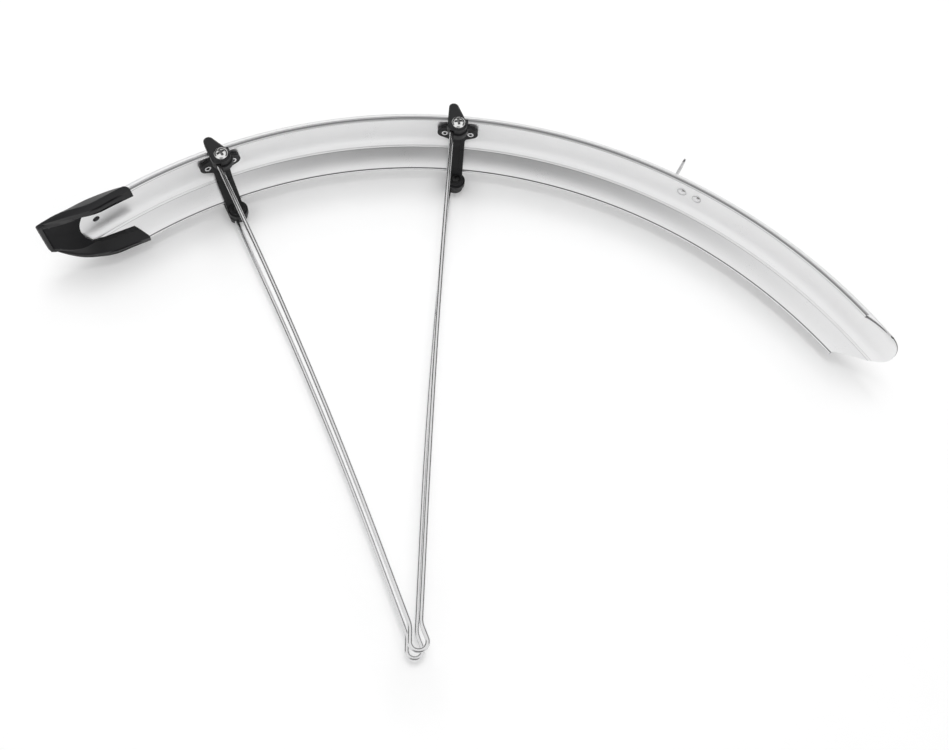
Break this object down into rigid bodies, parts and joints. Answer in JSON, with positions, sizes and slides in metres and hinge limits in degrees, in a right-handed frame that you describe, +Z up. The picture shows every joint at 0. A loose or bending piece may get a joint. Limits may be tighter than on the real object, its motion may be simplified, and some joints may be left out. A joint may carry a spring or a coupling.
{
  "type": "bicycle mudguard",
  "caption": "Arched bicycle mudguard: satin silver sheet blade with rolled rims, moulded bridges with wire stay clamps, bent wire stays, a crown tab and a moulded end shoe.",
  "frame": {"origin": "centre of the bolt hole in the crown tab", "axes": "+X forwards along the bicycle, +Y to the bicycle's left along the axle, +Z up; the guard stands as it is fitted over the wheel"},
  "size_m": [0.5926, 0.0864, 0.3873],
  "materials": {
    "silver_sheet": "satin silver",
    "black_plastic": "fine grained black moulding",
    "stay_wire": "bright drawn wire",
    "tab_strip": "bright rolled strip",
    "rivet_metal": "bright",
    "clamp_steel": "bright plated"
  },
  "bodies": {
    "root": {"blade": "silver_sheet", "crown_tab": "tab_strip", "crown_tab_rivet_front": "rivet_metal", "crown_tab_rivet_rear": "rivet_metal", "end_shoe": "black_plastic", "front_bridge": "black_plastic", "front_bridge_eyelet_front": "rivet_metal", "front_bridge_eyelet_rear": "rivet_metal", "front_left_clamp_cap": "black_plastic", "front_left_clamp_nut": "clamp_steel", "front_left_clamp_screw": "clamp_steel", "front_right_clamp_cap": "black_plastic", "front_right_clamp_nut": "clamp_steel", "front_right_clamp_screw": "clamp_steel", "left_stay": "stay_wire", "rear_bridge": "black_plastic", "rear_bridge_eyelet_front": "rivet_metal", "rear_bridge_eyelet_rear": "rivet_metal", "rear_left_clamp_cap": "black_plastic", "rear_left_clamp_nut": "clamp_steel", "rear_left_clamp_screw": "clamp_steel", "rear_right_clamp_cap": "black_plastic", "rear_right_clamp_nut": "clamp_steel", "rear_right_clamp_screw": "clamp_steel", "right_stay": "stay_wire"}
  },
  "joints": []
}
